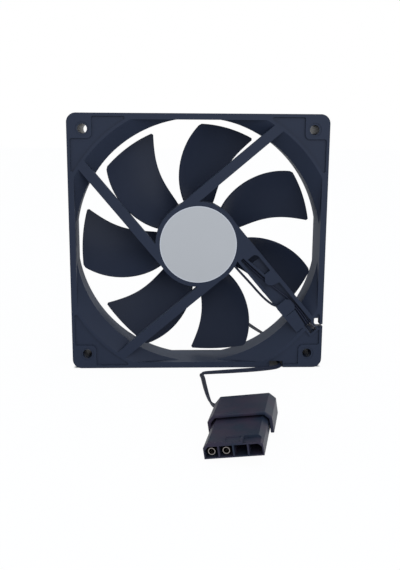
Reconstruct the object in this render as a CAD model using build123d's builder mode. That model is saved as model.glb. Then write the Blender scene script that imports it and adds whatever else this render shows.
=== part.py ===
from build123d import *
import os
from math import cos, pi, radians, sin, sqrt, tan

os.makedirs("parts", exist_ok=True)

# Axial DC fan, 119 mm square, with a lead and a four-pin power plug. Millimetres.
# +Z is up, the fan stands on its lower edge, and its axis runs along Y.
# The label side, where the air leaves, faces -Y. X is to the right seen from there.

# Frame
frame_width = 119.0
frame_depth = 25.0
corner_radius = 4.3
flange_thickness = 4.0
bore_inset = 1.0
outlet_narrowing = 0.8
bore_side_wall = 1.5
outlet_side_wall = 2.8
duct_wall = 2.1
flare_width = 6.0
flare_depth = 5.5
mouth_width = 3.5
mouth_depth = 4.0
hole_inset = 7.0
hole_radius = 2.2
hole_ring_radius = 3.1
hole_ring_depth = 0.3
tube_wall = 2.2
pad_width = 11.2
pad_corner_radius = 2.2
rim_width = 1.4
lip_width = 1.4
pocket_depth = 0.9
pocket_corner_radius = 0.8

# Motor base and its struts
base_radius = 19.9
base_height = 3.8
base_wall = 1.3
base_floor = 1.3
tube_seat_wall = 1.5
label_radius = 17.9
label_thickness = 0.15
label_recess = 0.2
label_gap = 0.15
post_height = 1.3
post_radius = 1.2
post_circle_radius = 14.5
post_angle = 80.0
strut_width = 4.6
strut_depth = 3.5
strut_outer_offset = 19.7
strut_first_angle = 40.0
channel_angle = -50.0
strut_seat = 1.2
gate_nib_angle = 69.0
gate_nib_radius = 0.6
gate_nib_depth = 1.6

# Lead channel on the fourth strut. Places across it are distances from the fan's axis.
channel_inner_edge = 9.0
channel_outer_edge = 19.7
inner_rail_width = 1.3
channel_floor_thickness = 1.0
hook_thickness = 0.9
cable_hole_inner = 13.8
cable_hole_width = 3.7
cable_hole_length = 5.1
cable_hole_inset = 0.6
cable_hole_rim = 1.0
lead_exit_inset = 1.3
window_corner = 2.2

# Outlines in the channel, as (share of the way from the axis to the cable hole, place across)
groove_outline = (
    (0.295, 10.3), (0.295, 12.0), (0.337, 12.3), (0.53, 14.2), (0.53, 17.9), (0.856, 17.9), (0.856, 10.3),
)
window_outline = ((0.325, 13.1), (0.497, 14.9), (0.497, 18.1), (0.325, 18.1))
window_opening_end = 0.375
window_inner_edge = 12.9
outer_hook_outline = (
    (0.500, 18.6), (0.500, 16.1), (0.516, 14.0), (0.546, 12.6), (0.577, 13.0), (0.599, 14.6), (0.614, 18.6),
)
inner_hook_outline = (
    (0.747, 9.2), (0.747, 14.9), (0.775, 16.5), (0.825, 16.5), (0.852, 15.3), (0.852, 9.2),
)
rail_gap = (0.603, 0.776)
block_groove_outline = ((0.856, 15.3), (0.856, 17.9), (1.01, 17.9), (1.01, 14.2))

# Notches for the lead
side_notch_depth = 4.3
side_finger_width = 1.5
side_notch_top = 24.1
side_notch_foot = 20.4
side_notch_slant = 1.2
side_notch_slant_height = 2.0
side_slit_height = 0.95
back_window_size = 5.0
back_window_shift = 1.0
foot_notch_width = 6.4
foot_notch_height = 2.9
foot_notch_centre = 37.8

# Impeller
blade_count = 7
blade_reference_angle = 30.0
blade_tip_clearance = 3.4
blade_tip_chamfer = 0.9
hub_radius = 20.0
hub_front_radius = 19.2
hub_wall = 2.0
hub_front_wall = 1.7
hub_front_gap = 2.5
hub_rear_gap = 2.0
hub_edge_radius = 2.4
hub_boss_radius = 3.8
hub_boss_length = 2.0
hub_ring_radius = 12.0
hub_ring_width = 1.0
hub_ring_depth = 0.4
trailing_edge_inset = 0.4
leading_edge_inset = 3.0
blade_root_thickness = 2.0
blade_tip_thickness = 1.2
edge_thickness_share = 0.5
blade_camber = 0.09

# Rotor inside the hub
yoke_thickness = 0.8
yoke_inset = 0.5
magnet_thickness = 2.7
magnet_inset = 0.6
shaft_radius = 1.5
shaft_end_gap = 0.05
shaft_in_hub = 1.0
groove_radius = 1.2
groove_width = 0.44
groove_from_end = 0.7
clip_radius = 2.6
clip_thickness = 0.38
clip_mouth = 2.2

# Bearing and its tube
bearing_clearance = 0.02
bearing_radius = 3.4
tube_thickness = 0.8
tube_lip = 0.5
bearing_front_gap = 1.3
clip_gap = 0.4
cap_thickness = 1.1
washer_thickness = 0.5
seal_thickness = 0.3
seal_clearance = 0.06
assembly_gap = 0.02

# Stator and board
air_gap = 0.4
stator_end_room = 4.75
core_hub_radius = 6.0
pole_count = 4
pole_leg_width = 3.2
pole_tip_thickness = 2.4
pole_gap = 3.0
insulator_thickness = 0.8
winding_inner = 6.3
winding_outer = 10.6
winding_build = 2.1
winding_overhang = 1.6
insulator_rim = 0.6
board_radius = 17.6
board_thickness = 1.0
pin_radius = 0.35
pin_circle_radius = 9.0
driver_size = (4.2, 3.0, 1.4)
driver_circle_radius = 14.2
capacitor_size = (3.2, 1.6, 1.1)
capacitor_circle_radius = 13.0

# Wires inside the channel
wire_radius = 0.55
wire_pitch = 1.15
wire_floor_gap = 0.05
wire_slot_clearance = 0.3
wire_slot_length = 5.0

# Where the wires run, as (share of the way from the axis to the cable hole, place across)
held_wire_places = ((0.144, 11.0), (0.32, 11.3), (0.48, 12.4), (0.64, 14.6), (0.785, 16.7), (0.913, 17.1))
slack_wire_places = (
    (0.216, 6.5), (0.32, 6.5), (0.465, 7.0), (0.593, 7.4), (0.673, 8.5), (0.753, 10.7), (0.827, 15.95),
    (0.913, 15.95),
)

# Free lead: both wires side by side, made here as one round tube. Places are (x, y) on the
# floor, or (x, y, height above it) where the lead is still falling or already rising.
lead_radius = 1.0
lead_floor = 1.02
lead_behind = ((0.0, 12.0, 0.0), (-0.3, 27.0, -1.0))
lead_drop_places = ((52.6, 31.0, 7.0), (47.5, 39.0, 0.3))
lead_loop_places = (
    (39.5, 43.5), (33.5, 60.0), (28.5, 80.0), (19.0, 91.0), (12.0, 82.0), (14.0, 62.0), (19.5, 40.0), (26.5, 20.5),
)
lead_foot_places = (15.5, -14.5)
lead_front_places = (
    (29.0, -18.6), (14.5, -21.6), (6.0, -22.9), (0.6, -24.0), (1.3, -30.0), (1.6, -40.0), (2.4, -54.0),
)
lead_rise_place = (5.2, -66.6, 0.9)
lead_entry_run = 7.6

# Four-pin power plug with its hood
plug_place = (8.9, -119.5, 2.56)
plug_yaw = -11.7
plug_roll = -8.8
plug_width = 20.7
plug_height = 5.7
plug_chamfer = 1.7
plug_length = 33.0
plug_floor = 0.5
plug_top_wall = 1.4
cavity_count = 4
cavity_pitch = 5.08
cavity_chamfer = 1.2
divider_thickness = 0.65
key_length = 4.8
key_recesses = ((0.0, 5.2, 0.35), (6.8, 6.6, 0.9))
hood_width = 24.0
hood_wall = 1.25
hood_top = 7.7
hood_foot = 0.7
hood_chamfer = 2.4
hood_start = 20.9
hood_length = 20.7
hood_back_wall = 2.0
hood_mouth = 8.0
wire_entry = (-5.08, 2.9)
terminal_radius = 1.25
terminal_bore = 1.02
terminal_recess = 0.9
terminal_length = 14.0
tang_length = 1.6
tang_start = 9.0
tang_width = 1.2
tang_clearance = 0.05

# Sizes that follow from the values above
centre_height = frame_width / 2
rear = -frame_depth / 2
front = frame_depth / 2
bore_radius = frame_width / 2 - bore_inset
outlet_radius = bore_radius - outlet_narrowing
bore_flat = frame_width - 2 * bore_side_wall
outlet_flat = frame_width - 2 * outlet_side_wall
flare_radius = bore_radius + flare_width
mouth_radius = bore_radius + mouth_width
hole_spacing = frame_width - 2 * hole_inset
screw_tube_radius = hole_radius + tube_wall
strut_inner_offset = strut_outer_offset - strut_width
base_front = rear + base_height
floor_front = rear + label_recess + base_floor
board_rear = floor_front + post_height
board_front = board_rear + board_thickness
blade_tip_radius = bore_radius - blade_tip_clearance
hub_rear = base_front + hub_rear_gap
hub_front = front - hub_front_gap
hub_inner_radius = hub_radius - hub_wall
hub_ceiling = hub_front - hub_front_wall
hub_boss_end = hub_ceiling - hub_boss_length
trailing_edge_y = hub_rear + trailing_edge_inset
leading_edge_y = hub_front - leading_edge_inset
yoke_rear = hub_rear + yoke_inset
yoke_inner_radius = hub_inner_radius - yoke_thickness
magnet_rear = yoke_rear + magnet_inset
magnet_front = hub_ceiling - yoke_thickness - magnet_inset
magnet_inner_radius = yoke_inner_radius - magnet_thickness
stator_radius = magnet_inner_radius - air_gap
core_rear = board_front + stator_end_room
core_front = hub_ceiling - yoke_thickness - stator_end_room
bearing_tube_radius = bearing_radius + tube_thickness
cap_rear = rear + label_recess
washer_rear = cap_rear + cap_thickness
shaft_rear = washer_rear + washer_thickness + shaft_end_gap
shaft_groove = shaft_rear + groove_from_end
bearing_rear = shaft_groove + groove_width + clip_gap
bearing_front = hub_boss_end - bearing_front_gap
tube_front = bearing_front + tube_lip
cavity_width = cavity_pitch - divider_thickness
cavity_height = plug_height - plug_floor - plug_top_wall
cavity_centre = plug_floor + cavity_height / 2
wire_depth = floor_front + wire_radius + wire_floor_gap
channel_floor_y = wire_depth + wire_radius + wire_floor_gap
channel_front = channel_floor_y + channel_floor_thickness
cable_hole_start = sqrt(flare_radius**2 - cable_hole_inner**2) - cable_hole_inset
cable_hole_outer = cable_hole_inner + cable_hole_width
hole_along = cable_hole_start + lead_exit_inset
hole_outwards = cable_hole_inner + cable_hole_width / 2
lead_start = rear + flange_thickness
core_length = core_front - core_rear
core_middle = (core_front + core_rear) / 2
fan_axis = Axis((0, 0, centre_height), (0, 1, 0))


def across(y):
    """Plane square to the fan's axis at depth y, laid out as seen from behind the fan."""
    return Plane(origin=(0, y, centre_height), x_dir=(1, 0, 0), z_dir=(0, -1, 0))


def along_channel(y):
    """The same plane turned so that its first direction runs out along the lead channel."""
    turn = radians(channel_angle)
    return Plane(origin=(0, y, centre_height), x_dir=(cos(turn), 0, sin(turn)), z_dir=(0, -1, 0))


def channel_point(along, outwards, y):
    """Point of the lead channel in the part's frame."""
    return along_channel(y).from_local_coords((along, outwards, 0))


def reach(radius, offset):
    """How far along a line at this offset from the axis a circle of this radius lies."""
    return sqrt(radius**2 - offset**2)


def channel_places(places):
    """Turns shares of the way to the cable hole into distances along the channel."""
    return [(share * cable_hole_start, outwards) for share, outwards in places]


# Air space: a flare at the rear face, a bore that narrows to the rear and a small mouth in
# front, cut flat where it meets the frame's four sides
with BuildPart() as air_space:
    with BuildSketch(across(rear)):
        Circle(flare_radius)
    with BuildSketch(across(rear + flare_depth)):
        Circle(outlet_radius)
    loft()
    with BuildSketch(across(rear + flare_depth)):
        Circle(outlet_radius)
    with BuildSketch(across(front)):
        Circle(bore_radius)
    loft()
    with BuildSketch(across(front - mouth_depth)):
        Circle(outlet_radius)
    with BuildSketch(across(front)):
        Circle(mouth_radius)
    loft()
    with BuildSketch(across(rear)):
        Rectangle(outlet_flat, outlet_flat)
    with BuildSketch(across(front)):
        Rectangle(bore_flat, bore_flat)
    loft(mode=Mode.INTERSECT)

# Frame: one moulding with the duct, two flanges, screw tubes, struts and motor base
strut_length = reach(flare_radius + strut_seat, strut_outer_offset)
channel_length = reach(flare_radius + strut_seat, channel_outer_edge)

with BuildPart() as frame:
    with BuildSketch(across(front)):
        Circle(bore_radius + duct_wall)
        Rectangle(frame_width, frame_width, mode=Mode.INTERSECT)
    extrude(amount=frame_depth)
    with BuildSketch(across(front)):
        RectangleRounded(frame_width, frame_width, corner_radius)
    extrude(amount=flange_thickness)
    with BuildSketch(across(rear + flange_thickness)):
        RectangleRounded(frame_width, frame_width, corner_radius)
    extrude(amount=flange_thickness)
    with BuildSketch(across(front)):
        with GridLocations(hole_spacing, hole_spacing, 2, 2):
            Circle(screw_tube_radius)
    extrude(amount=frame_depth)
    add(air_space.part, mode=Mode.SUBTRACT)

    # Shallow pockets in the rear flange, outside the flare's lip and around the screw pads
    with BuildSketch(across(rear + pocket_depth)) as pockets:
        Rectangle(frame_width - 2 * rim_width, frame_width - 2 * rim_width)
        Circle(flare_radius + lip_width, mode=Mode.SUBTRACT)
        with GridLocations(frame_width - pad_width, frame_width - pad_width, 2, 2):
            Rectangle(pad_width, pad_width, mode=Mode.SUBTRACT)
        pad_corners = pockets.vertices().group_by(SortBy.DISTANCE, tol_digits=3)[1]
        fillet(pad_corners, pad_corner_radius)
        corner_rings = pockets.vertices().group_by(SortBy.DISTANCE, tol_digits=3)
        fillet(corner_rings[0] + corner_rings[-1], pocket_corner_radius)
    extrude(amount=pocket_depth, mode=Mode.SUBTRACT)

    # Three plain struts beside the motor base
    with BuildSketch(across(rear + strut_depth)):
        with PolarLocations(0, 3, start_angle=strut_first_angle, angular_range=180, endpoint=True):
            with Locations((strut_length / 2, strut_outer_offset - strut_width / 2)):
                Rectangle(strut_length, strut_width)
    extrude(amount=strut_depth)

    # Fourth strut, wide enough for the lead channel, with the block and the cable hole's rim
    with BuildSketch(along_channel(channel_front)):
        with Locations((channel_length / 2, (channel_inner_edge + channel_outer_edge) / 2)):
            Rectangle(channel_length, channel_outer_edge - channel_inner_edge)
    extrude(amount=channel_front - rear)
    with BuildSketch(along_channel(rear + pocket_depth)):
        with Locations((cable_hole_start + cable_hole_length / 2, cable_hole_inner + cable_hole_width / 2)):
            Rectangle(cable_hole_length + 2 * cable_hole_rim, cable_hole_width + 2 * cable_hole_rim)
    extrude(amount=pocket_depth)

    # The channel: a groove for the wires and a window beside it, both down to the floor
    with BuildSketch(along_channel(channel_floor_y)):
        with BuildLine():
            Polyline(*channel_places(groove_outline), close=True)
        make_face()
    extrude(amount=channel_floor_y - rear, mode=Mode.SUBTRACT)
    with BuildSketch(along_channel(channel_floor_y)) as window:
        with BuildLine():
            Polyline(*channel_places(window_outline), close=True)
        make_face()
        fillet(window.vertices().group_by(Axis.Y)[-1].sort_by(Axis.X)[0], window_corner)
    extrude(amount=channel_floor_y - rear, mode=Mode.SUBTRACT)
    with BuildSketch(along_channel(channel_front)):
        with BuildLine():
            Polyline(*channel_places(window_outline), close=True)
        make_face()
        with Locations((window_opening_end * cable_hole_start, channel_outer_edge / 2)):
            Rectangle(
                frame_width, 2 * channel_outer_edge, align=(Align.MIN, Align.CENTER), mode=Mode.SUBTRACT
            )
    extrude(amount=channel_front - channel_floor_y, mode=Mode.SUBTRACT)

    # Gap in the inner rail for the slack wire to come back in
    with BuildSketch(along_channel(channel_floor_y)):
        with Locations((sum(rail_gap) / 2 * cable_hole_start, channel_inner_edge + inner_rail_width / 2)):
            Rectangle((rail_gap[1] - rail_gap[0]) * cable_hole_start, 2 * inner_rail_width)
    extrude(amount=channel_floor_y - rear, mode=Mode.SUBTRACT)

    # Groove through the block and down into the cable hole
    with BuildSketch(along_channel(channel_floor_y)):
        with BuildLine():
            Polyline(*channel_places(block_groove_outline), close=True)
        make_face()
    extrude(amount=channel_floor_y - rear, mode=Mode.SUBTRACT)
    with BuildSketch(along_channel(rear + flange_thickness)):
        with Locations((cable_hole_start + cable_hole_length / 2, cable_hole_inner + cable_hole_width / 2)):
            Rectangle(cable_hole_length, cable_hole_width)
    extrude(amount=flange_thickness, mode=Mode.SUBTRACT)

    # Hooks that hold the wires down, one from each rail
    for outline in (outer_hook_outline, inner_hook_outline):
        with BuildSketch(along_channel(rear + hook_thickness)):
            with BuildLine():
                Polyline(*channel_places(outline), close=True)
            make_face()
        extrude(amount=hook_thickness)

    # Motor base: a cup that holds the board, open towards the rotor, with the mould's gate nib
    with BuildSketch(across(base_front)):
        Circle(base_radius)
    extrude(amount=base_height)
    with BuildSketch(across(rear + gate_nib_depth)):
        with PolarLocations(base_radius, 1, start_angle=gate_nib_angle):
            Circle(gate_nib_radius)
    extrude(amount=gate_nib_depth)
    with BuildSketch(across(base_front)):
        Circle(base_radius - base_wall)
    extrude(amount=base_front - floor_front, mode=Mode.SUBTRACT)
    with BuildSketch(across(rear + label_recess)):
        Circle(label_radius + label_gap)
    extrude(amount=label_recess, mode=Mode.SUBTRACT)
    with BuildSketch(across(board_rear)):
        with PolarLocations(post_circle_radius, 3, start_angle=post_angle):
            Circle(post_radius)
        Circle(bearing_tube_radius + tube_seat_wall)
    extrude(amount=post_height)
    with BuildSketch(across(board_rear)):
        Circle(bearing_tube_radius + assembly_gap)
    extrude(amount=board_rear - rear, mode=Mode.SUBTRACT)

    # Two ways out of the base for the wires
    slot_width = 2 * wire_radius + 2 * wire_slot_clearance
    held_exit = held_wire_places[1][1]
    slack_exit = slack_wire_places[1][1]
    with BuildSketch(along_channel(board_rear)):
        with Locations((reach(base_radius, held_exit), held_exit), (reach(base_radius, slack_exit), slack_exit)):
            Rectangle(wire_slot_length, slot_width)
    extrude(amount=post_height, mode=Mode.SUBTRACT)

    # Screw holes through both flanges, each with a shallow ring around it on the label side
    with BuildSketch(across(front)):
        with GridLocations(hole_spacing, hole_spacing, 2, 2):
            Circle(hole_radius)
    extrude(amount=frame_depth, mode=Mode.SUBTRACT)
    with BuildSketch(across(rear + hole_ring_depth)):
        with GridLocations(hole_spacing, hole_spacing, 2, 2):
            Circle(hole_ring_radius)
    extrude(amount=hole_ring_depth, mode=Mode.SUBTRACT)

    # Hooked notch in the rear flange's right edge, open through a slit under its finger
    notch_left = frame_width / 2 - side_notch_depth
    finger_left = frame_width / 2 - side_finger_width
    notch_top = side_notch_top - centre_height
    notch_foot = side_notch_foot - centre_height
    with BuildSketch(across(rear + flange_thickness)):
        with BuildLine():
            Polyline(
                (notch_left, notch_top), (finger_left, notch_top), (finger_left, notch_foot + side_slit_height),
                (frame_width / 2 + 1, notch_foot + side_slit_height), (frame_width / 2 + 1, notch_foot),
                (notch_left + side_notch_slant, notch_foot), (notch_left, notch_foot + side_notch_slant_height),
                close=True,
            )
        make_face()
    extrude(amount=flange_thickness, mode=Mode.SUBTRACT)

    # Window in the front flange where the lead leaves
    exit_point = channel_point(hole_along, hole_outwards, lead_start)
    with BuildSketch(across(front)):
        with Locations((exit_point.X + back_window_shift, exit_point.Z - centre_height)):
            Rectangle(back_window_size, back_window_size)
    extrude(amount=flange_thickness, mode=Mode.SUBTRACT)

    # Low notches in both flanges' lower edges, for the lead to pass under
    with BuildSketch(across(front)):
        with Locations((foot_notch_centre, -centre_height + foot_notch_height / 2)):
            Rectangle(foot_notch_width, foot_notch_height)
    extrude(amount=frame_depth, mode=Mode.SUBTRACT)
frame.part.label = "frame"
export_step(frame.part, "parts/frame.step")

# Label: a plain grey disc in the recess of the motor base
with BuildPart() as label:
    with BuildSketch(across(rear + label_recess)):
        Circle(label_radius)
    extrude(amount=label_thickness)
label.part.label = "label"
export_step(label.part, "parts/label.step")

# Bearing tube pressed into the base
with BuildPart() as bearing_tube:
    with BuildSketch(across(tube_front)):
        Circle(bearing_tube_radius)
        Circle(bearing_radius, mode=Mode.SUBTRACT)
    extrude(amount=tube_front - cap_rear)
bearing_tube.part.label = "bearing_tube"
export_step(bearing_tube.part, "parts/bearing_tube.step")

# Cap that closes the tube behind the shaft
with BuildPart() as bearing_cap:
    with BuildSketch(across(washer_rear)):
        Circle(bearing_radius - assembly_gap)
    extrude(amount=cap_thickness)
bearing_cap.part.label = "bearing_cap"
export_step(bearing_cap.part, "parts/bearing_cap.step")

# Thrust washer that the shaft's end runs on
with BuildPart() as thrust_washer:
    with BuildSketch(across(washer_rear + washer_thickness)):
        Circle(bearing_radius - assembly_gap)
    extrude(amount=washer_thickness)
thrust_washer.part.label = "thrust_washer"
export_step(thrust_washer.part, "parts/thrust_washer.step")

# Sintered sleeve bearing with chamfered mouths
with BuildPart() as sleeve_bearing:
    with BuildSketch(across(bearing_front)):
        Circle(bearing_radius - assembly_gap)
        Circle(shaft_radius + bearing_clearance, mode=Mode.SUBTRACT)
    extrude(amount=bearing_front - bearing_rear)
    chamfer(sleeve_bearing.edges().filter_by(GeomType.CIRCLE).group_by(SortBy.RADIUS)[0], 0.3)
sleeve_bearing.part.label = "sleeve_bearing"
export_step(sleeve_bearing.part, "parts/sleeve_bearing.step")

# Oil seal washer in the tube's front end
with BuildPart() as oil_seal:
    with BuildSketch(across(bearing_front + seal_thickness)):
        Circle(bearing_radius - assembly_gap)
        Circle(shaft_radius + seal_clearance, mode=Mode.SUBTRACT)
    extrude(amount=seal_thickness)
oil_seal.part.label = "oil_seal"
export_step(oil_seal.part, "parts/oil_seal.step")

# Shaft with the clip's groove near its rear end
with BuildPart() as shaft:
    with BuildSketch(across(hub_ceiling + shaft_in_hub)):
        Circle(shaft_radius)
    extrude(amount=hub_ceiling + shaft_in_hub - shaft_rear)
    chamfer(shaft.edges().filter_by(GeomType.CIRCLE).sort_by(Axis.Y)[0], 0.2)
    with BuildSketch(across(shaft_groove + groove_width)):
        Circle(shaft_radius)
        Circle(groove_radius, mode=Mode.SUBTRACT)
    extrude(amount=groove_width, mode=Mode.SUBTRACT)
shaft.part.label = "shaft"
export_step(shaft.part, "parts/shaft.step")

# Retaining clip snapped into the shaft's groove, a split ring with an open mouth
with BuildPart() as retaining_clip:
    with BuildSketch(across(shaft_groove + groove_width / 2 + clip_thickness / 2)):
        Circle(clip_radius)
        Circle(groove_radius + assembly_gap, mode=Mode.SUBTRACT)
        with Locations((0, -clip_radius)):
            Rectangle(clip_mouth, 2 * clip_radius, mode=Mode.SUBTRACT)
    extrude(amount=clip_thickness)
retaining_clip.part.label = "retaining_clip"
export_step(retaining_clip.part, "parts/retaining_clip.step")


# One blade, lofted through five profiles square to its reference radius. Each station is
# (distance from the axis, trailing edge's place across, leading edge's place across).
blade_stations = (
    (17.0, 8.5, -4.2),
    (27.0, 12.9, -6.0),
    (37.0, 13.7, -8.9),
    (47.0, 11.5, -15.1),
    (58.0, 4.5, -23.7),
)


blade_turn = radians(blade_reference_angle)
blade_outwards = Vector(cos(blade_turn), 0, sin(blade_turn))
blade_sideways = Vector(-sin(blade_turn), 0, cos(blade_turn))


def blade_plane(distance):
    """Plane square to the blade's reference radius, with its second direction to the rear."""
    origin = Vector(0, 0, centre_height) + blade_outwards * distance
    return Plane(origin=origin, x_dir=blade_sideways, z_dir=blade_outwards)


with BuildPart() as blade:
    for distance, trailing_across, leading_across in blade_stations:
        share = (distance - blade_stations[0][0]) / (blade_stations[-1][0] - blade_stations[0][0])
        half = (blade_root_thickness + (blade_tip_thickness - blade_root_thickness) * share) / 2
        trailing = Vector(trailing_across, -trailing_edge_y)
        leading = Vector(leading_across, -leading_edge_y)
        chord = trailing - leading
        towards_front = Vector(chord.Y, -chord.X).normalized()
        middle = (trailing + leading) * 0.5 + towards_front * (blade_camber * chord.length)
        edge = half * edge_thickness_share
        with BuildSketch(blade_plane(distance)):
            with BuildLine():
                front_face = ThreePointArc(
                    leading + towards_front * edge,
                    middle + towards_front * half,
                    trailing + towards_front * edge,
                )
                rear_face = ThreePointArc(
                    trailing - towards_front * edge,
                    middle - towards_front * half,
                    leading - towards_front * edge,
                )
                Line(front_face @ 1, rear_face @ 0)
                Line(rear_face @ 1, front_face @ 0)
            make_face()
    loft()
    with BuildSketch(across(front)):
        Circle(blade_tip_radius)
        Circle(hub_front_radius - hub_wall / 4, mode=Mode.SUBTRACT)
    extrude(amount=frame_depth, mode=Mode.INTERSECT)
    blade_axis = Axis((0, 0, centre_height), blade_outwards)
    tip = blade.faces().filter_by(GeomType.CYLINDER).sort_by(blade_axis)[-1]
    chamfer(tip.edges().sort_by(SortBy.LENGTH)[:2], blade_tip_chamfer)

# Impeller: the hub cup with seven blades around it, one moulding
with BuildPart() as impeller:
    with BuildSketch(Plane(origin=(0, 0, centre_height), x_dir=(1, 0, 0), z_dir=(0, 0, 1))):
        with BuildLine():
            Polyline(
                (0, hub_rear), (hub_radius, hub_rear), (hub_front_radius, hub_front), (0, hub_front), close=True
            )
        make_face()
    revolve(axis=fan_axis)
    fillet(impeller.edges().filter_by(GeomType.CIRCLE).sort_by(Axis.Y)[-1], hub_edge_radius)
    for number in range(blade_count):
        add(blade.part.rotate(fan_axis, -number * 360 / blade_count))
    with BuildSketch(across(hub_ceiling)):
        Circle(hub_inner_radius)
        Circle(hub_boss_radius, mode=Mode.SUBTRACT)
    extrude(amount=hub_ceiling - hub_rear, mode=Mode.SUBTRACT)
    with BuildSketch(across(hub_boss_end)):
        Circle(hub_boss_radius + 1)
    extrude(amount=hub_boss_end - hub_rear, mode=Mode.SUBTRACT)
    with BuildSketch(across(hub_ceiling + shaft_in_hub)):
        Circle(shaft_radius)
    extrude(amount=hub_ceiling + shaft_in_hub - hub_boss_end, mode=Mode.SUBTRACT)
    with BuildSketch(across(hub_front)):
        Circle(hub_ring_radius + hub_ring_width)
        Circle(hub_ring_radius, mode=Mode.SUBTRACT)
    extrude(amount=hub_ring_depth, mode=Mode.SUBTRACT)
impeller.part.label = "impeller"
export_step(impeller.part, "parts/impeller.step")

# Rotor yoke: a drawn steel cup pressed into the hub
with BuildPart() as rotor_yoke:
    with BuildSketch(across(hub_ceiling)):
        Circle(hub_inner_radius)
    extrude(amount=hub_ceiling - yoke_rear)
    with BuildSketch(across(hub_ceiling - yoke_thickness)):
        Circle(yoke_inner_radius)
    extrude(amount=hub_ceiling - yoke_thickness - yoke_rear, mode=Mode.SUBTRACT)
    with BuildSketch(across(hub_ceiling)):
        Circle(hub_boss_radius + assembly_gap)
    extrude(amount=yoke_thickness, mode=Mode.SUBTRACT)
rotor_yoke.part.label = "rotor_yoke"
export_step(rotor_yoke.part, "parts/rotor_yoke.step")

# Ring magnet inside the yoke
with BuildPart() as ring_magnet:
    with BuildSketch(across(magnet_front)):
        Circle(yoke_inner_radius)
        Circle(magnet_inner_radius, mode=Mode.SUBTRACT)
    extrude(amount=magnet_front - magnet_rear)
ring_magnet.part.label = "ring_magnet"
export_step(ring_magnet.part, "parts/ring_magnet.step")


def pole_shape(leg_width, tip_inner, tip_outer, hub, gap):
    """Four legs from a round hub, each with a curved shoe, drawn in the current sketch."""
    Circle(tip_outer)
    Circle(tip_inner, mode=Mode.SUBTRACT)
    with PolarLocations(tip_outer, pole_count, start_angle=180 / pole_count):
        Rectangle(2 * tip_outer - 2 * tip_inner + gap, gap, mode=Mode.SUBTRACT)
    leg_end = (tip_inner + tip_outer) / 2
    with PolarLocations(leg_end / 2, pole_count):
        Rectangle(leg_end, leg_width)
    Circle(hub)


# Stator core: a stack of steel laminations with four poles
pole_tip_inner = stator_radius - pole_tip_thickness
with BuildPart() as stator_core:
    with BuildSketch(across(core_front)):
        pole_shape(pole_leg_width, pole_tip_inner, stator_radius, core_hub_radius, pole_gap)
        Circle(bearing_tube_radius + assembly_gap, mode=Mode.SUBTRACT)
    extrude(amount=core_length)
stator_core.part.label = "stator_core"
export_step(stator_core.part, "parts/stator_core.step")

# Insulators: thin plastic covers on both faces of the core, with rims that hold the coils in
winding_width = pole_leg_width + 2 * winding_build
insulator_tip_inner = sqrt(winding_outer**2 + (winding_width / 2) ** 2) + 0.1
insulator_reach = core_length / 2 + insulator_thickness
for side, name in ((1, "insulator_front"), (-1, "insulator_rear")):
    with BuildPart() as insulator:
        with BuildSketch(across(core_front + insulator_thickness if side > 0 else core_rear)):
            insulator_outer = stator_radius - 0.5
            insulator_hub = core_hub_radius - 0.3
            pole_shape(pole_leg_width, insulator_tip_inner, insulator_outer, insulator_hub, pole_gap + 1)
            if side < 0:
                with PolarLocations(pin_circle_radius / 2, 3, start_angle=45, angular_range=180, endpoint=True):
                    Rectangle(pin_circle_radius + 2, 1.8)
            Circle(bearing_tube_radius + assembly_gap, mode=Mode.SUBTRACT)
        extrude(amount=insulator_thickness)
        with BuildSketch(across(core_middle + side * insulator_reach + max(side, 0) * winding_overhang)):
            Circle(insulator_tip_inner + insulator_rim)
            Circle(insulator_tip_inner, mode=Mode.SUBTRACT)
            with PolarLocations(insulator_tip_inner, pole_count, start_angle=45):
                Rectangle(6, 9, mode=Mode.SUBTRACT)
        extrude(amount=winding_overhang)
    insulator.part.label = name
    export_step(insulator.part, "parts/" + name + ".step")

# Windings: four coils of enamelled wire, one around each pole's leg
winding_height = 2 * (insulator_reach + winding_overhang)
for number in range(pole_count):
    turn = radians(number * 360 / pole_count)
    outwards = Vector(cos(turn), 0, sin(turn))
    coil_plane = Plane(
        origin=Vector(0, core_middle, centre_height) + outwards * winding_inner,
        x_dir=(-sin(turn), 0, cos(turn)),
        z_dir=outwards,
    )
    with BuildPart() as winding:
        with BuildSketch(coil_plane):
            RectangleRounded(winding_width, winding_height, 1.4)
            Rectangle(pole_leg_width, 2 * insulator_reach, mode=Mode.SUBTRACT)
        extrude(amount=winding_outer - winding_inner)
    name = "winding_" + str(number + 1)
    winding.part.label = name
    export_step(winding.part, "parts/" + name + ".step")

# Circuit board on its posts in the base, around the bearing tube
with BuildPart() as circuit_board:
    with BuildSketch(across(board_front)):
        Circle(board_radius)
        Circle(bearing_tube_radius + 0.1, mode=Mode.SUBTRACT)
    extrude(amount=board_thickness)
circuit_board.part.label = "circuit_board"
export_step(circuit_board.part, "parts/circuit_board.step")

# Pins that stand on the board and carry the stator's wire ends
with BuildPart() as winding_pins:
    with BuildSketch(across(core_rear - insulator_thickness)):
        with PolarLocations(pin_circle_radius, 3, start_angle=45, angular_range=180, endpoint=True):
            Circle(pin_radius)
    extrude(amount=core_rear - insulator_thickness - board_front)
winding_pins.part.label = "winding_pins"
export_step(winding_pins.part, "parts/winding_pins.step")

# Driver with its magnetic sensor, near the ring magnet's edge
with BuildPart() as hall_driver:
    with BuildSketch(across(board_front + driver_size[2])):
        with Locations((driver_circle_radius, 0)):
            Rectangle(driver_size[1], driver_size[0])
    extrude(amount=driver_size[2])
    chamfer(hall_driver.edges().filter_by(Axis.Z).group_by(Axis.Y)[-1], 0.3)
hall_driver.part.label = "hall_driver"
export_step(hall_driver.part, "parts/hall_driver.step")

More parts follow.
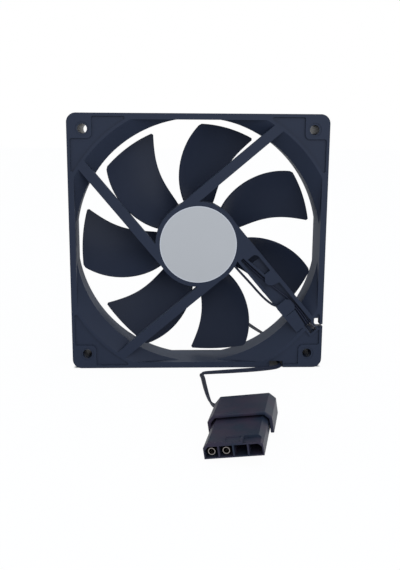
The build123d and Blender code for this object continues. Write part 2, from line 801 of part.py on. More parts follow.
# Capacitor across the supply
with BuildPart() as capacitor:
    with BuildSketch(across(board_front + capacitor_size[2])):
        with Locations((-capacitor_circle_radius, 0)):
            Rectangle(capacitor_size[1], capacitor_size[0])
    extrude(amount=capacitor_size[2])
capacitor.part.label = "capacitor"
export_step(capacitor.part, "parts/capacitor.step")


def tube_radii(points):
    """Largest tangent arc at each corner: 0.45 of its shorter run over the tangent of half its turn."""
    radii = []
    for before, corner, after in zip(points, points[1:], points[2:]):
        arriving = corner - before
        leaving = after - corner
        turn = arriving.get_angle(leaving)
        radii.append(0.45 * min(arriving.length, leaving.length) / tan(radians(turn) / 2))
    return radii


# Wires from the board to the cable hole. The first stays in the channel. The second leaves
# the base beside it, bows outside the inner rail and comes back in under the inner hook.
held_route = [channel_point(*place, wire_depth) for place in channel_places(held_wire_places)]
slack_route = [channel_point(*place, wire_depth) for place in channel_places(slack_wire_places)]
for route, side in ((held_route, 1), (slack_route, -1)):
    wire_outwards = hole_outwards + side * wire_pitch / 2
    route.append(channel_point(hole_along, wire_outwards, wire_depth - wire_radius))
    route.append(channel_point(hole_along, wire_outwards, lead_start))
for name, route in (("held_wire", held_route), ("slack_wire", slack_route)):
    with BuildPart() as wire:
        with BuildLine() as path:
            FilletPolyline(*route, radius=tube_radii(route))
        with BuildSketch(Plane(origin=path.line @ 0, z_dir=path.line % 0)):
            Circle(wire_radius)
        sweep(path=path.line)
    wire.part.label = name
    export_step(wire.part, "parts/" + name + ".step")

# Four-pin power plug: its own plane, with width, height above the plug's foot, and depth
yaw = radians(plug_yaw)
roll = radians(plug_roll)
plug_sideways = Vector(cos(yaw) * cos(roll), sin(yaw) * cos(roll), -sin(roll))
plug_backwards = Vector(-sin(yaw), cos(yaw), 0)


def in_plug(depth):
    """Plane across the plug at this depth behind its nose, seen from the nose."""
    return Plane(
        origin=Vector(*plug_place) + plug_backwards * depth, x_dir=plug_sideways, z_dir=-plug_backwards
    )


def chamfered_box(width, bottom, top, cut):
    """Closed outline with cut upper corners, drawn in the current line."""
    Polyline(
        (-width / 2, bottom), (width / 2, bottom), (width / 2, top - cut), (width / 2 - cut, top),
        (-width / 2 + cut, top), (-width / 2, top - cut), close=True,
    )


with BuildPart() as connector_plug:
    with BuildSketch(in_plug(0)):
        with BuildLine():
            chamfered_box(plug_width, 0, plug_height, plug_chamfer)
        make_face()
    extrude(amount=-plug_length)
    with BuildSketch(in_plug(0)) as cavities:
        with Locations((0, cavity_centre)):
            with GridLocations(cavity_pitch, 1, cavity_count, 1):
                Rectangle(cavity_width, cavity_height)
        cavity_tops = cavities.vertices().group_by(Axis.Y)[-1].sort_by(Axis.X)
        chamfer((cavity_tops[0], cavity_tops[-1]), cavity_chamfer)
    extrude(amount=-plug_length, mode=Mode.SUBTRACT)
    for key_centre, key_width, key_depth in key_recesses:
        with BuildSketch(in_plug(0)):
            with Locations((key_centre, plug_height)):
                Rectangle(key_width, 2 * key_depth)
        extrude(amount=-key_length, mode=Mode.SUBTRACT)
connector_plug.part.label = "connector_plug"
export_step(connector_plug.part, "parts/connector_plug.step")

# Hood around the plug's rear, open in front and under its mouth
with BuildPart() as connector_hood:
    with BuildSketch(in_plug(hood_start)):
        with BuildLine():
            chamfered_box(hood_width, -hood_foot, hood_top, hood_chamfer)
        make_face()
    extrude(amount=-hood_length)
    with BuildSketch(in_plug(hood_start)):
        with BuildLine():
            chamfered_box(hood_width - 2 * hood_wall, 0, hood_top - hood_wall, hood_chamfer - hood_wall / 2)
        make_face()
    extrude(amount=-(hood_length - hood_back_wall), mode=Mode.SUBTRACT)
    with BuildSketch(in_plug(hood_start)):
        with Locations((0, 0)):
            Rectangle(hood_width - 2 * hood_wall, 4)
    extrude(amount=-hood_mouth, mode=Mode.SUBTRACT)
connector_hood.part.label = "connector_hood"
export_step(connector_hood.part, "parts/connector_hood.step")

# Socket terminals in the two wired cavities, each with tangs that hold it in its cavity
with BuildPart() as socket_terminals:
    for place in (-1.5 * cavity_pitch, -0.5 * cavity_pitch):
        with BuildSketch(in_plug(terminal_recess)):
            with Locations((place, cavity_centre)):
                Circle(terminal_radius)
        extrude(amount=-terminal_length)
        with BuildSketch(in_plug(tang_start)):
            with Locations((place, cavity_centre)):
                Rectangle(cavity_width - 2 * tang_clearance, tang_width)
                Rectangle(tang_width, cavity_height - 2 * tang_clearance)
        extrude(amount=-tang_length)
        with BuildSketch(in_plug(terminal_recess)):
            with Locations((place, cavity_centre)):
                Circle(terminal_bore)
        extrude(amount=-(terminal_length - 4), mode=Mode.SUBTRACT)
socket_terminals.part.label = "socket_terminals"
export_step(socket_terminals.part, "parts/socket_terminals.step")

# Free lead: out through the front flange's notch, a loose loop on the floor behind the fan,
# back under the frame's foot and forward to the plug
entry = in_plug(hood_start + hood_length).from_local_coords((*wire_entry, 0))
before_entry = in_plug(hood_start + hood_length + lead_entry_run).from_local_coords((*wire_entry, 0))
lead_route = [exit_point]
lead_route += [exit_point + Vector(*step) for step in lead_behind]
lead_route += [Vector(x, y, lead_floor + height) for x, y, height in lead_drop_places]
lead_route += [Vector(x, y, lead_floor) for x, y in lead_loop_places]
lead_route += [Vector(foot_notch_centre, y, lead_floor) for y in lead_foot_places]
lead_route += [Vector(x, y, lead_floor) for x, y in lead_front_places]
lead_route += [Vector(*lead_rise_place) + Vector(0, 0, lead_floor), before_entry, entry]
with BuildPart() as lead:
    with BuildLine() as path:
        FilletPolyline(*lead_route, radius=tube_radii(lead_route))
    with BuildSketch(Plane(origin=path.line @ 0, z_dir=path.line % 0)):
        Circle(lead_radius)
    sweep(path=path.line)
lead_length = path.wires()[0].length
lead.part.label = "lead"
export_step(lead.part, "parts/lead.step")
print("lead length", round(lead_length, 1))
print("lead volume share", round(lead.part.volume / (pi * lead_radius**2 * lead_length), 4))
print("lead radii", [round(radius, 1) for radius in tube_radii(lead_route)])
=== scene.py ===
"""Looks for an axial cooling fan with its lead and four-pin power plug.

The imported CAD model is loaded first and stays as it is. Lengths below are in millimetres
where their names or comments say so, and Blender gets metres.
"""

import bpy
import numpy as np
from math import cos, pi, radians, sin
from mathutils import Matrix, Vector


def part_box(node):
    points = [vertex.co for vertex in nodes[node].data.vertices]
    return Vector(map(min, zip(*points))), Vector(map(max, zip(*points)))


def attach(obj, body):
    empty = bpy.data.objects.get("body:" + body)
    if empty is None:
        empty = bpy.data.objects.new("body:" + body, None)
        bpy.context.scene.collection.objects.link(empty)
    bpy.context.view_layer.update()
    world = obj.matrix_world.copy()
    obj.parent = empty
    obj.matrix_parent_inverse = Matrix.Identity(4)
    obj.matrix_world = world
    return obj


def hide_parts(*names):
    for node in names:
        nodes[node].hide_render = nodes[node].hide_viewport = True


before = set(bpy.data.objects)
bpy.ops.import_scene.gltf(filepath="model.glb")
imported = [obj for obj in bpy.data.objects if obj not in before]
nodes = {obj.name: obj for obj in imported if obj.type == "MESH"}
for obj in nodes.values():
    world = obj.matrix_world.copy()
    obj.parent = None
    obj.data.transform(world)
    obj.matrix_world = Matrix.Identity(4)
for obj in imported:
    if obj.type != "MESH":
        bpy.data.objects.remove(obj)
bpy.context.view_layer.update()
MM = 0.001

# The camera stands in front of the label side, a little left of the fan and above it, and
# looks slightly down. Its frame is 400 by 570 pixels, with a focal length of 740 pixels.
focal_px = 740.0
frame_width_px = 400.0
sensor_width_mm = 36.0
camera_place_mm = (-11.66, -352.68, 109.24)
camera_yaw_deg = 2.11
camera_pitch_deg = 11.42
camera_roll_deg = 0.35

camera_data = bpy.data.cameras.new("photo_camera")
camera_data.sensor_fit = "HORIZONTAL"
camera_data.sensor_width = sensor_width_mm
camera_data.lens = focal_px / frame_width_px * sensor_width_mm
camera = bpy.data.objects.new("photo_camera", camera_data)
bpy.context.collection.objects.link(camera)
camera.matrix_world = (
    Matrix.Translation(Vector(camera_place_mm) * MM)
    @ Matrix.Rotation(-radians(camera_yaw_deg), 4, "Z")
    @ Matrix.Rotation(pi / 2 - radians(camera_pitch_deg), 4, "X")
    @ Matrix.Rotation(radians(camera_roll_deg), 4, "Z")
)
bpy.context.scene.camera = camera

# The free lead is two thin black wires with soft insulation that lie side by side. It leaves
# the frame's corner at the back, loops behind the fan, and comes forward under its foot.
lead_height_mm = 1.02
fan_centre_mm = 59.5
channel_turn = radians(-50.0)
wire_insulation_colour = (0.0115, 0.0155, 0.0320, 1.0)


def channel_point(along, outwards, y):
    """Point of the lead channel: so far along it from the axis, and so far across it."""
    x = along * cos(channel_turn) - outwards * sin(channel_turn)
    z = along * sin(channel_turn) + outwards * cos(channel_turn)
    return Vector((x, y, z + fan_centre_mm))


def spline_line(points_mm, steps=10):
    """Places in metres along a smooth line that follows the given points.

    The line is a NURBS spline of order 3 with the points as its control points.
    """
    curve = bpy.data.curves.new("line", "CURVE")
    curve.dimensions = "3D"
    curve.resolution_u = steps
    spline = curve.splines.new("NURBS")
    spline.points.add(len(points_mm) - 1)
    control = np.ones((len(points_mm), 4))
    control[:, :3] = np.array([tuple(point) for point in points_mm]) * MM
    spline.points.foreach_set("co", control.ravel())
    spline.order_u = 3
    spline.use_endpoint_u = True
    holder = bpy.data.objects.new("line", curve)
    mesh = bpy.data.meshes.new_from_object(holder)
    line = np.empty(3 * len(mesh.vertices))
    mesh.vertices.foreach_get("co", line)
    bpy.data.objects.remove(holder)
    bpy.data.meshes.remove(mesh)
    bpy.data.curves.remove(curve)
    return line.reshape(-1, 3)


def along_line(line):
    """Distance run, and sideways and upward unit vectors, at each place of a line.

    The line's direction is the difference of a place's neighbours. Sideways is the direction
    crossed with a fixed reference that stands nearly upright, and upward is the direction
    crossed with sideways.
    """
    direction = np.gradient(line, axis=0)
    direction /= np.linalg.norm(direction, axis=1)[:, None]
    steps = np.linalg.norm(np.diff(line, axis=0), axis=1)
    run = np.concatenate([[0.0], np.cumsum(steps)])
    reference = np.array([0.05, 0.12, 1.0])
    sideways = np.cross(direction, reference)
    sideways /= np.linalg.norm(sideways, axis=1)[:, None]
    upward = np.cross(direction, sideways)
    return run, sideways, upward


def add_surface(name, points, close_across=False, close_along=False, caps=False):
    """Object with the faces of a grid of points, shaped (along, across, 3).

    Each face joins a point to its neighbours in both directions of the grid.
    """
    along, across = points.shape[:2]
    index = np.arange(along * across).reshape(along, across)
    if close_across:
        index = np.concatenate([index, index[:, :1]], axis=1)
    if close_along:
        index = np.concatenate([index, index[:1]], axis=0)
    quads = np.stack([index[:-1, :-1], index[:-1, 1:], index[1:, 1:], index[1:, :-1]], axis=-1)
    faces = quads.reshape(-1, 4).tolist()
    if caps:
        faces.append(index[0, :across][::-1].tolist())
        faces.append(index[along - 1, :across].tolist())
    mesh = bpy.data.meshes.new(name)
    mesh.from_pydata(points.reshape(-1, 3), [], faces)
    mesh.polygons.foreach_set("use_smooth", np.ones(len(mesh.polygons), dtype=bool))
    mesh.update()
    piece = bpy.data.objects.new(name, mesh)
    bpy.context.collection.objects.link(piece)
    return piece


def ramp(tree, value, start, end, low=0.0, high=1.0):
    """Socket that goes evenly from low to high while a value goes from start to end."""
    node = tree.nodes.new("ShaderNodeMapRange")
    node.inputs["From Min"].default_value = start
    node.inputs["From Max"].default_value = end
    node.inputs["To Min"].default_value = low
    node.inputs["To Max"].default_value = high
    tree.links.new(value, node.inputs["Value"])
    return node.outputs["Result"]


def mixed(tree, share, first, second, data_type="RGBA"):
    """Socket that goes from the first colour or number to the second as a share goes to 1.

    The first may also be a socket.
    """
    node = tree.nodes.new("ShaderNodeMix")
    node.data_type = data_type
    tree.links.new(share, node.inputs["Factor"])
    if isinstance(first, bpy.types.NodeSocket):
        tree.links.new(first, node.inputs["A"])
    else:
        node.inputs["A"].default_value = first
    node.inputs["B"].default_value = second
    return node.outputs["Result"]


def add_material(name, colour, roughness, bump_scale, bump_height_mm, shade=0.15, metallic=0.0,
                 specular=0.5, second_colour=None, broad_scale=60.0, softness=0.5):
    """Moulded or drawn surface: one colour that varies softly, with fine grain in its normals.

    The grain is a noise of the object's own coordinates. A broader noise makes the colour a
    little lighter or darker from place to place, or turns it into the second colour. The less
    the softness, the clearer the patches.
    """
    bump_strength = 0.35
    roughness_spread = 0.06
    material = bpy.data.materials.new(name)
    material.use_nodes = True
    tree = material.node_tree
    shader = tree.nodes["Principled BSDF"]
    shader.inputs["Metallic"].default_value = metallic
    shader.inputs["Specular IOR Level"].default_value = specular
    place = tree.nodes.new("ShaderNodeTexCoord")
    grain = tree.nodes.new("ShaderNodeTexNoise")
    grain.inputs["Scale"].default_value = bump_scale
    grain.inputs["Detail"].default_value = 4.0
    bump = tree.nodes.new("ShaderNodeBump")
    bump.inputs["Strength"].default_value = bump_strength
    bump.inputs["Distance"].default_value = bump_height_mm * MM
    broad = tree.nodes.new("ShaderNodeTexNoise")
    broad.inputs["Scale"].default_value = broad_scale
    broad.inputs["Detail"].default_value = 3.0
    darker = tuple(part * (1 - shade) for part in colour[:3]) + (1.0,)
    lighter = tuple(min(1.0, part * (1 + shade)) for part in colour[:3]) + (1.0,)
    join = tree.links.new
    join(place.outputs["Object"], grain.inputs["Vector"])
    join(place.outputs["Object"], broad.inputs["Vector"])
    join(grain.outputs["Fac"], bump.inputs["Height"])
    join(bump.outputs["Normal"], shader.inputs["Normal"])
    patches = ramp(tree, broad.outputs["Fac"], 0.5 - softness, 0.5 + softness)
    tint = mixed(tree, patches, darker, second_colour or lighter)
    low_roughness = roughness - roughness_spread
    high_roughness = roughness + roughness_spread
    rough = ramp(tree, broad.outputs["Fac"], 0.0, 1.0, low_roughness, high_roughness)
    join(tint, shader.inputs["Base Color"])
    join(rough, shader.inputs["Roughness"])
    return material


wire_insulation = add_material(
    "wire_insulation", wire_insulation_colour, 0.48, 900.0, 0.05, specular=0.15,
)
hole_along_mm = 63.7
lead_start_y_mm = -8.5
exit_point = channel_point(hole_along_mm, 15.65, lead_start_y_mm)
plug_place = Vector((8.9, -119.5, 2.56))
plug_yaw = radians(-11.7)
plug_roll = radians(-8.8)
plug_sideways = Vector(
    (cos(plug_yaw) * cos(plug_roll), sin(plug_yaw) * cos(plug_roll), -sin(plug_roll))
)
plug_backwards = Vector((-sin(plug_yaw), cos(plug_yaw), 0.0))
plug_upwards = plug_sideways.cross(plug_backwards)
wire_entry_across_mm = -5.08
wire_entry_height_mm = 2.9


def plug_point(across, up, depth):
    """Point of the plug: across its width, above its foot, and behind its nose."""
    return plug_place + plug_sideways * across + plug_upwards * up + plug_backwards * depth


lead_route_mm = [
    exit_point,
    exit_point + Vector((0.2, 4.2, -0.2)),
    exit_point + Vector((5.3, 8.8, -4.9)),
    exit_point + Vector((4.6, 13.2, -4.2)),
    exit_point + Vector((0, 17.5, 0)),
    exit_point + Vector((-0.3, 27, -1)),
    Vector((52.6, 31, lead_height_mm + 7.0)),
    Vector((47.8, 37.5, lead_height_mm + 0.3)),
    Vector((39.8, 41.0, lead_height_mm)),
    Vector((34.0, 60, lead_height_mm)),
    Vector((28.8, 80, lead_height_mm)),
    Vector((19, 91, lead_height_mm)),
    Vector((12, 82, lead_height_mm)),
    Vector((14, 62, lead_height_mm)),
    Vector((19.5, 40, lead_height_mm)),
    Vector((26.5, 20.5, lead_height_mm)),
    Vector((38.6, 15.5, lead_height_mm)),
    Vector((39.6, -6.0, lead_height_mm)),
    Vector((39.9, -14.2, lead_height_mm)),
    Vector((32.0, -18.0, lead_height_mm)),
    Vector((14.5, -21.6, lead_height_mm)),
    Vector((6.0, -22.9, lead_height_mm)),
    Vector((0.9, -24.0, lead_height_mm)),
    Vector((1.8, -30.0, lead_height_mm)),
    Vector((2.1, -40.0, lead_height_mm)),
    Vector((2.8, -54.0, lead_height_mm)),
    Vector((3.6, -64.0, lead_height_mm + 0.4)),
    Vector((5.0, -72.0, lead_height_mm + 1.7)),
    Vector((9.4, -71.4, lead_height_mm + 3.2)),
    plug_point(wire_entry_across_mm, wire_entry_height_mm, 46.6),
    plug_point(wire_entry_across_mm, wire_entry_height_mm, 41.6),
]
lead_wire_radius_mm = 0.5
lead_twist_mm = 72.0
lead_line = spline_line(lead_route_mm, 12)


def wire_pair(name, line, radius_mm, twist_mm):
    """Mesh of two round wires side by side along a line, carried as one section of two lobes.

    Each lobe is a circle around its own wire's centre, cut off where it meets the other
    lobe, and the whole section turns slowly along the line.
    """
    run, sideways, upward = along_line(line)
    meeting_angle = 0.25
    lobe_points = 13
    centre = radius_mm * cos(meeting_angle)
    angles = np.linspace(meeting_angle - pi, pi - meeting_angle, lobe_points)
    lobe_across = centre + radius_mm * np.cos(angles)
    lobe_height = radius_mm * np.sin(angles)
    across = np.concatenate([lobe_across[:-1], -lobe_across[:-1]]) * MM
    height = np.concatenate([lobe_height[:-1], -lobe_height[:-1]]) * MM
    turn = -run / (twist_mm * MM) * pi
    side = sideways * np.cos(turn)[:, None] + upward * np.sin(turn)[:, None]
    top = -sideways * np.sin(turn)[:, None] + upward * np.cos(turn)[:, None]
    section = side[:, None] * across[None, :, None] + top[:, None] * height[None, :, None]
    return add_surface(name, line[:, None] + section, close_across=True, caps=True)


lead = wire_pair("lead_pair", lead_line, lead_wire_radius_mm, lead_twist_mm)
lead.data.materials.append(wire_insulation)
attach(lead, "fan_frame")
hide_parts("lead")
lead_length = float(along_line(lead_line)[0][-1])

# Two single wires of the same kind run from the circuit board to the corner. One lies in the
# strut's channel under its hooks. The other bows out beside the strut and comes back in at
# the rail's gap.
channel_wire_radius_mm = 0.55
channel_wire_y_mm = -10.4
hole_wire_y_mm = -10.95
held_route_mm = [
    channel_point(9.0, 11.0, channel_wire_y_mm),
    channel_point(20.0, 11.3, channel_wire_y_mm),
    channel_point(30.0, 12.4, channel_wire_y_mm),
    channel_point(40.0, 14.6, channel_wire_y_mm),
    channel_point(49.0, 16.7, channel_wire_y_mm),
    channel_point(57.0, 17.1, channel_wire_y_mm),
    channel_point(hole_along_mm, 16.22, hole_wire_y_mm),
    channel_point(hole_along_mm, 16.22, lead_start_y_mm),
]
slack_route_mm = [
    channel_point(13.5, 6.5, channel_wire_y_mm),
    channel_point(20.0, 6.5, channel_wire_y_mm),
    channel_point(29.0, 7.0, channel_wire_y_mm),
    channel_point(37.0, 7.2, channel_wire_y_mm),
    channel_point(42.0, 7.7, channel_wire_y_mm),
    channel_point(46.5, 9.0, channel_wire_y_mm),
    channel_point(49.3, 12.6, channel_wire_y_mm),
    channel_point(51.8, 15.95, channel_wire_y_mm),
    channel_point(57.0, 15.95, channel_wire_y_mm),
    channel_point(hole_along_mm, 15.08, hole_wire_y_mm),
    channel_point(hole_along_mm, 15.08, lead_start_y_mm),
]


def round_wire(name, line, radius_mm):
    """Mesh of one round wire: a circle of this radius carried square to the line."""
    sides = 16
    sideways, upward = along_line(line)[1:]
    around = np.linspace(0, 2 * pi, sides, endpoint=False)
    circle = np.cos(around)[:, None] * sideways[:, None] + np.sin(around)[:, None] * upward[:, None]
    return add_surface(name, line[:, None] + circle * radius_mm * MM, close_across=True, caps=True)


for name, route in (("held_wire", held_route_mm), ("slack_wire", slack_route_mm)):
    wire = round_wire(name + "_run", spline_line(route), channel_wire_radius_mm)
    wire.data.materials.append(wire_insulation)
    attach(wire, "fan_frame")
    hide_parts(name)

# The frame is one injection moulding of black plastic with a cold blue cast. Its walls are
# satin, and its edges are slightly round, as the mould's own corners are.
frame_colour = (0.0205, 0.0275, 0.0480, 1.0)
edge_angle_deg = 32
edge_weld_m = 2e-6


def dress(node, material, edge_mm=0.0):
    """Gives a CAD node its material, and rounds its sharp edges by the given width."""
    piece = nodes[node]
    piece.data.materials.clear()
    piece.data.materials.append(material)
    if edge_mm:
        weld = piece.modifiers.new("joined", "WELD")
        weld.merge_threshold = edge_weld_m
        edge = piece.modifiers.new("round_edges", "BEVEL")
        edge.width = edge_mm * MM
        edge.segments = 2
        edge.limit_method = "ANGLE"
        edge.angle_limit = radians(edge_angle_deg)
        edge.harden_normals = False
        shading = piece.modifiers.new("even_shading", "WEIGHTED_NORMAL")
        shading.keep_sharp = True


frame_plastic = add_material(
    "frame_plastic", frame_colour, 0.42, 1500.0, 0.03, shade=0.10, specular=0.11,
)
dress("frame", frame_plastic, 0.35)

# The wall of the frame's bore is duller than the rest, as the core of the mould left it. Its
# lighter, greyer colour is a painted reflection of the bright surroundings, which the wall faces
# at a grazing angle. This share is 1 near enough to the axis, on faces that run along it, and 0
# elsewhere.
bore_edge_mm = 58.6
bore_fade_mm = 1.0
bore_lean_none = 0.30
bore_lean_all = 0.15
bore_roughness = 0.62
bore_painted_reflection_colour = (0.0380, 0.0500, 0.0800, 1.0)


def axis_distance(tree, place):
    """Socket with a point's distance from the impeller's axis, in metres.

    The point's Y is made 0, and the rest is measured from the axis's own point.
    """
    flat = tree.nodes.new("ShaderNodeVectorMath")
    flat.operation = "MULTIPLY"
    flat.inputs[1].default_value = (1.0, 0.0, 1.0)
    distance = tree.nodes.new("ShaderNodeVectorMath")
    distance.operation = "DISTANCE"
    distance.inputs[1].default_value = (0.0, 0.0, fan_centre_mm * MM)
    tree.links.new(place.outputs["Object"], flat.inputs[0])
    tree.links.new(flat.outputs["Vector"], distance.inputs[0])
    return distance.outputs["Value"]


def calculated(tree, operation, *values):
    """Socket with the result of a Math node's operation on one or two sockets."""
    node = tree.nodes.new("ShaderNodeMath")
    node.operation = operation
    for slot, value in enumerate(values):
        tree.links.new(value, node.inputs[slot])
    return node.outputs["Value"]


def lay_over(tree, input_name, share, value, data_type="RGBA"):
    """Puts a colour or a number over what reaches one input of the shader, by a share."""
    target = tree.nodes["Principled BSDF"].inputs[input_name]
    below = target.links[0].from_socket
    tree.links.new(mixed(tree, share, below, value, data_type), target)


bore_tree = frame_plastic.node_tree
bore_place = bore_tree.nodes.new("ShaderNodeTexCoord")
bore_facing = bore_tree.nodes.new("ShaderNodeSeparateXYZ")
bore_tree.links.new(bore_place.outputs["Normal"], bore_facing.inputs["Vector"])
bore_lean = calculated(bore_tree, "ABSOLUTE", bore_facing.outputs["Y"])
bore_wall = ramp(bore_tree, bore_lean, bore_lean_none, bore_lean_all)
bore_distance = axis_distance(bore_tree, bore_place)
bore_near = ramp(bore_tree, bore_distance, (bore_edge_mm + bore_fade_mm) * MM, bore_edge_mm * MM)
bore_share = calculated(bore_tree, "MULTIPLY", bore_near, bore_wall)
# Painted reflection: the bore wall's base colour turns lighter where the share is 1.
lay_over(bore_tree, "Base Color", bore_share, bore_painted_reflection_colour)
lay_over(bore_tree, "Roughness", bore_share, bore_roughness, "FLOAT")

# The impeller is one moulding of the same black plastic: a hub cup with seven swept blades,
# slightly glossier than the frame. The steel yoke sits in the cup, and both turn together.
impeller_colour = (0.0180, 0.0240, 0.0425, 1.0)
impeller_plastic = add_material(
    "impeller_plastic", impeller_colour, 0.40, 1200.0, 0.03, shade=0.10, specular=0.11,
)
dress("impeller", impeller_plastic, 0.15)

# The label is a plain grey sheet that is stuck into the round recess of the motor base. Its
# colour turns paler in a thin ring round its edge.
label_colour = (0.452, 0.458, 0.465, 1.0)
label_rim_colour = (0.54, 0.56, 0.60, 1.0)
label_rim_radius_mm = 17.45
label_rim_fade_mm = 0.15
label_paper = add_material("label_paper", label_colour, 0.38, 2500.0, 0.01, shade=0.03)
label_tree = label_paper.node_tree
label_distance = axis_distance(label_tree, label_tree.nodes.new("ShaderNodeTexCoord"))
label_rim = ramp(
    label_tree,
    label_distance,
    label_rim_radius_mm * MM,
    (label_rim_radius_mm + label_rim_fade_mm) * MM,
)
lay_over(label_tree, "Base Color", label_rim, label_rim_colour)
dress("label", label_paper)

# The plug is a flat four-way body of moulded black plastic, with a hood of the same plastic
# over its rear. The two wires end in tinned sockets, which stand in its two left cavities.
plug_colour = (0.0185, 0.0275, 0.0480, 1.0)
plug_bloom_colour = (0.0330, 0.0265, 0.0460, 1.0)
plug_plastic = add_material(
    "plug_plastic", plug_colour, 0.45, 1100.0, 0.05, specular=0.14,
    second_colour=plug_bloom_colour, broad_scale=110.0, softness=0.13,
)
dress("connector_plug", plug_plastic, 0.15)
dress("connector_hood", plug_plastic, 0.35)
tin_colour = (0.27, 0.25, 0.24, 1.0)
terminal_tin = add_material("terminal_tin", tin_colour, 0.38, 2000.0, 0.01, metallic=1.0)
dress("socket_terminals", terminal_tin)

# The motor's pieces of metal, plastic, rubber and ceramic sit inside the hub and show only when
# the fan is taken apart. A row names the node, its finish and colour, its roughness, and
# whether it is metal.
inner_finishes = (
    ("bearing_tube", "tube_brass", (0.62, 0.42, 0.16, 1.0), 0.3, 1.0),
    ("bearing_cap", "cap_plastic", (0.02, 0.02, 0.02, 1.0), 0.5, 0.0),
    ("thrust_washer", "washer_plastic", (0.6, 0.57, 0.46, 1.0), 0.4, 0.0),
    ("sleeve_bearing", "bearing_bronze", (0.36, 0.2, 0.09, 1.0), 0.55, 1.0),
    ("oil_seal", "seal_rubber", (0.015, 0.015, 0.015, 1.0), 0.7, 0.0),
    ("stator_core", "core_steel", (0.28, 0.28, 0.29, 1.0), 0.45, 1.0),
    ("insulator_front", "insulator_plastic", (0.55, 0.52, 0.42, 1.0), 0.45, 0.0),
    ("insulator_rear", "insulator_plastic", (0.55, 0.52, 0.42, 1.0), 0.45, 0.0),
    ("winding_pins", "pin_metal", (0.7, 0.7, 0.7, 1.0), 0.25, 1.0),
    ("circuit_board", "board_laminate", (0.02, 0.12, 0.05, 1.0), 0.4, 0.0),
    ("hall_driver", "chip_plastic", (0.015, 0.015, 0.015, 1.0), 0.5, 0.0),
    ("capacitor", "capacitor_ceramic", (0.35, 0.24, 0.13, 1.0), 0.35, 0.0),
    ("rotor_yoke", "yoke_steel", (0.45, 0.45, 0.47, 1.0), 0.3, 1.0),
    ("ring_magnet", "magnet_ferrite", (0.03, 0.029, 0.028, 1.0), 0.6, 0.0),
    ("shaft", "shaft_steel", (0.65, 0.65, 0.67, 1.0), 0.15, 1.0),
    ("retaining_clip", "clip_plastic", (0.6, 0.6, 0.55, 1.0), 0.45, 0.0),
)
inner_grain_scale = 1500.0
inner_grain_mm = 0.02
inner_materials = {}
for node, finish, colour, roughness, metallic in inner_finishes:
    if finish not in inner_materials:
        inner_materials[finish] = add_material(
            finish, colour, roughness, inner_grain_scale, inner_grain_mm, metallic=metallic,
        )
    dress(node, inner_materials[finish])

# Four coils of enamelled copper wire, each wound around one leg of the core. Their outer layer
# shows the wire's turns side by side, and each one fills the place of its plain CAD coil.
coil_inner_mm = 6.3
coil_outer_mm = 10.6
coil_leg_half_mm = 1.6
coil_build_mm = 2.1
coil_overhang_mm = 1.6
coil_corner_mm = 1.4
coil_layer_turns = 11
coil_points_per_turn = 4
coil_corner_points = 7
coil_ridge_share = 0.06
coil_hole_share = 0.02
coil_end_shares = [0.35, 0.7]
copper_colour = (0.55, 0.2, 0.07, 1.0)
coil_copper = add_material(
    "winding_copper", copper_colour, 0.32, inner_grain_scale, inner_grain_mm, metallic=1.0,
)


def coil_surface(half_height_mm):
    """Width, height and reach in millimetres of one coil, on a grid of loop by section.

    The loop is a rounded rectangle: a quarter circle at each corner, around a centre that is
    set in from the corner by the circle's radius. The section is a rectangle from the inner
    to the outer end of the leg, and its outward side is a row of half waves, one for each turn.
    """
    quarter = np.linspace(0.0, pi / 2, coil_corner_points)
    angle = (np.arange(4)[:, None] * pi / 2 + quarter).ravel()
    side_across = np.repeat([1.0, -1.0, -1.0, 1.0], coil_corner_points)
    side_up = np.repeat([1.0, 1.0, -1.0, -1.0], coil_corner_points)
    turns = np.linspace(0.0, coil_layer_turns, coil_points_per_turn * coil_layer_turns + 1)
    ridge = 1.0 - coil_ridge_share * (1.0 - np.abs(np.sin(pi * turns)))
    hole = [coil_hole_share, coil_hole_share]
    share = np.concatenate([hole, coil_end_shares, ridge, coil_end_shares[::-1]])
    along = np.concatenate([[0.0, 1.0], [1.0, 1.0], 1.0 - turns / coil_layer_turns, [0.0, 0.0]])
    corner = coil_corner_mm * share
    across = side_across[:, None] * (coil_leg_half_mm + coil_build_mm * share - corner)
    across = across + np.cos(angle)[:, None] * corner
    up = side_up[:, None] * (half_height_mm - coil_overhang_mm * (1.0 - share) - corner)
    up = up + np.sin(angle)[:, None] * corner
    reach = np.broadcast_to(coil_inner_mm + (coil_outer_mm - coil_inner_mm) * along, across.shape)
    return across, up, reach


for number in range(4):
    node = "winding_" + str(number + 1)
    low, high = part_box(node)
    coil_middle = (low.y + high.y) / 2 / MM
    across, up, reach = coil_surface((high.y - low.y) / 2 / MM)
    turn = radians(90.0 * number)
    x = reach * cos(turn) + across * sin(turn)
    z = reach * sin(turn) - across * cos(turn)
    coil_points = np.stack([x, up + coil_middle, z + fan_centre_mm], axis=-1) * MM
    coil = add_surface(node + "_turns", coil_points, close_across=True, close_along=True)
    coil.data.materials.append(coil_copper)
    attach(coil, "fan_frame")
    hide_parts(node)

# A plain white floor that runs on into a white background. The camera sees mostly its own even
# white, and a soft trace of the shadow on it. Under the frame's foot nearly all of this white
# is left out, and the floor's base colour there is a painted shade of dark blue-grey that stands
# for the dark gap of the contact.
floor_half_m = 6.0
floor_drop_m = 0.00002
floor_white_share = 0.94
floor_white_strength = 1.03
foot_half_width_m = 0.0595
foot_half_depth_m = 0.0125
foot_soft_edge_m = 0.0015
foot_white_share = 0.018
floor_colour = (0.52, 0.57, 0.64, 1.0)
# Painted shade: the dark floor colour under the frame's foot.
foot_painted_shade_colour = (0.06, 0.065, 0.08, 1.0)


def direct_rays(tree):
    """Socket that is 1 for rays from the camera and for mirrored and refracted ones."""
    rays = tree.nodes.new("ShaderNodeLightPath").outputs
    mirrored = calculated(tree, "MAXIMUM", rays["Is Glossy Ray"], rays["Is Transmission Ray"])
    return calculated(tree, "MAXIMUM", rays["Is Camera Ray"], mirrored)


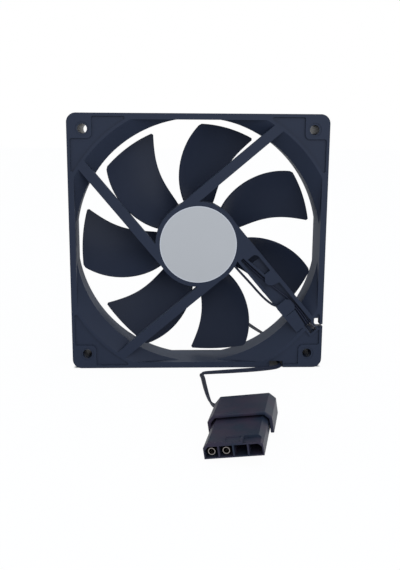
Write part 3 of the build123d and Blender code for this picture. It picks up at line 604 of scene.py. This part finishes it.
floor_points = np.array(
    [[[-floor_half_m, -floor_half_m, 0.0], [floor_half_m, -floor_half_m, 0.0]],
     [[-floor_half_m, floor_half_m, 0.0], [floor_half_m, floor_half_m, 0.0]]]
)
floor = add_surface("floor", floor_points - np.array([0.0, 0.0, floor_drop_m]))
floor_paint = bpy.data.materials.new("floor_paint")
floor_paint.use_nodes = True
floor_tree = floor_paint.node_tree
floor_shader = floor_tree.nodes["Principled BSDF"]
floor_shader.inputs["Roughness"].default_value = 1.0
floor_shader.inputs["Specular IOR Level"].default_value = 0.0
floor_white = floor_tree.nodes.new("ShaderNodeEmission")
floor_white.inputs["Strength"].default_value = floor_white_strength
floor_place = floor_tree.nodes.new("ShaderNodeTexCoord")
floor_beyond = floor_tree.nodes.new("ShaderNodeVectorMath")
floor_beyond.operation = "ABSOLUTE"
floor_past = floor_tree.nodes.new("ShaderNodeVectorMath")
floor_past.operation = "SUBTRACT"
floor_past.inputs[1].default_value = (foot_half_width_m, foot_half_depth_m, 0.0)
floor_sides = floor_tree.nodes.new("ShaderNodeSeparateXYZ")
floor_tree.links.new(floor_place.outputs["Object"], floor_beyond.inputs[0])
floor_tree.links.new(floor_beyond.outputs["Vector"], floor_past.inputs[0])
floor_tree.links.new(floor_past.outputs["Vector"], floor_sides.inputs["Vector"])
floor_furthest = calculated(
    floor_tree, "MAXIMUM", floor_sides.outputs["X"], floor_sides.outputs["Y"],
)
floor_clear_of_foot_shade = ramp(floor_tree, floor_furthest, -foot_soft_edge_m, 0.0, foot_white_share)
# Painted shade: the floor's base colour turns dark under the frame's foot.
floor_tone_with_foot_shade = mixed(floor_tree, floor_clear_of_foot_shade, foot_painted_shade_colour, floor_colour)
floor_share = ramp(floor_tree, direct_rays(floor_tree), 0.0, 1.0, 0.0, floor_white_share)
floor_level = calculated(floor_tree, "MULTIPLY", floor_clear_of_foot_shade, floor_share)
floor_mix = floor_tree.nodes.new("ShaderNodeMixShader")
floor_output = floor_tree.nodes["Material Output"]
floor_tree.links.new(floor_tone_with_foot_shade, floor_shader.inputs["Base Color"])
floor_tree.links.new(floor_level, floor_mix.inputs["Fac"])
floor_tree.links.new(floor_shader.outputs["BSDF"], floor_mix.inputs[1])
floor_tree.links.new(floor_white.outputs["Emission"], floor_mix.inputs[2])
floor_tree.links.new(floor_mix.outputs["Shader"], floor_output.inputs["Surface"])
floor.data.materials.append(floor_paint)

# Soft light: an even sky with a slightly cold tint, which the camera sees as plain white, and
# one large lamp beside the camera that lights the fan from in front.
sky_strength = 0.70
sky_light_colour = (0.90, 0.96, 1.05, 1.0)
sky_seen_colour = (1.0, 1.0, 1.0, 1.0)
lamp_energy = 10.0
lamp_size_m = (1.6, 1.0)
lamp_place = Vector((0.35, -1.25, 0.6))
lamp_target = Vector((0.0, 0.0, 0.06))
world = bpy.data.worlds.new("studio")
bpy.context.scene.world = world
world.use_nodes = True
sky_tree = world.node_tree
sky = sky_tree.nodes["Background"]
sky_seen = direct_rays(sky_tree)
sky_tree.links.new(ramp(sky_tree, sky_seen, 0.0, 1.0, sky_strength, 1.0), sky.inputs["Strength"])
sky_tint = mixed(sky_tree, sky_seen, sky_light_colour, sky_seen_colour)
sky_tree.links.new(sky_tint, sky.inputs["Color"])

lamp_data = bpy.data.lights.new("soft_lamp", "AREA")
lamp_data.shape = "RECTANGLE"
lamp_data.size = lamp_size_m[0]
lamp_data.size_y = lamp_size_m[1]
lamp_data.energy = lamp_energy
lamp = bpy.data.objects.new("soft_lamp", lamp_data)
bpy.context.collection.objects.link(lamp)
lamp.location = lamp_place
lamp.rotation_euler = (lamp_target - lamp_place).to_track_quat("-Z", "Y").to_euler()

bpy.context.scene.view_settings.view_transform = "Standard"
